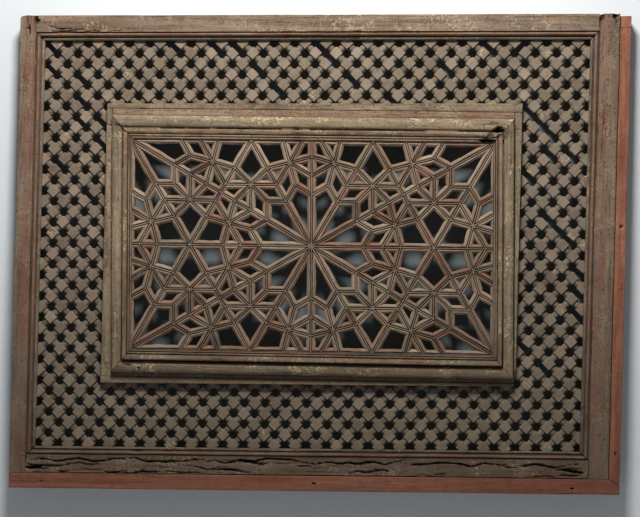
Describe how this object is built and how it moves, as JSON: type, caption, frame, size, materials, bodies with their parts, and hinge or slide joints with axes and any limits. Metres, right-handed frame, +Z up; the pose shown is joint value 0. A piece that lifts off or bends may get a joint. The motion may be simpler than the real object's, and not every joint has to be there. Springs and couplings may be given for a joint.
{
  "type": "carved wooden panel",
  "caption": "Framed wooden screen panel: star strapwork in a raised moulded casing, set in a band of turned lattice inside a moulded frame.",
  "frame": {"origin": "middle of the underside of the bottom lath, the face the panel stands on in its opening", "axes": "+X to the right seen from the front, +Y from the carved front towards the back, +Z up"},
  "size_m": [1.1218, 0.0574, 0.8603],
  "materials": {
    "frame_wood": "weathered grey-brown softwood with worn yellowish paint",
    "lath_wood": "dull red-brown stained wood",
    "casing_wood": "weathered wood with remains of cream and red paint",
    "lattice_wood": "dry grey-brown turned wood",
    "strap_wood": "dry wood with traces of red paint"
  },
  "bodies": {
    "root": {"stile_left": "frame_wood", "stile_right": "frame_wood", "rail_top": "frame_wood", "rail_bottom": "frame_wood", "lath_bottom": "lath_wood", "lath_right": "lath_wood", "lath_right_head": "lath_wood", "casing_top": "casing_wood", "casing_bottom": "casing_wood", "casing_left": "casing_wood", "casing_right": "casing_wood", "trim_top": "casing_wood", "trim_bottom": "casing_wood", "trim_left": "casing_wood", "trim_right": "casing_wood", "trim_left_head": "casing_wood", "trim_right_head": "casing_wood", "trim_left_foot": "casing_wood", "lattice_top": "lattice_wood", "lattice_bottom": "lattice_wood", "lattice_left": "lattice_wood", "lattice_right": "lattice_wood", "strapwork": "strap_wood"}
  },
  "joints": []
}
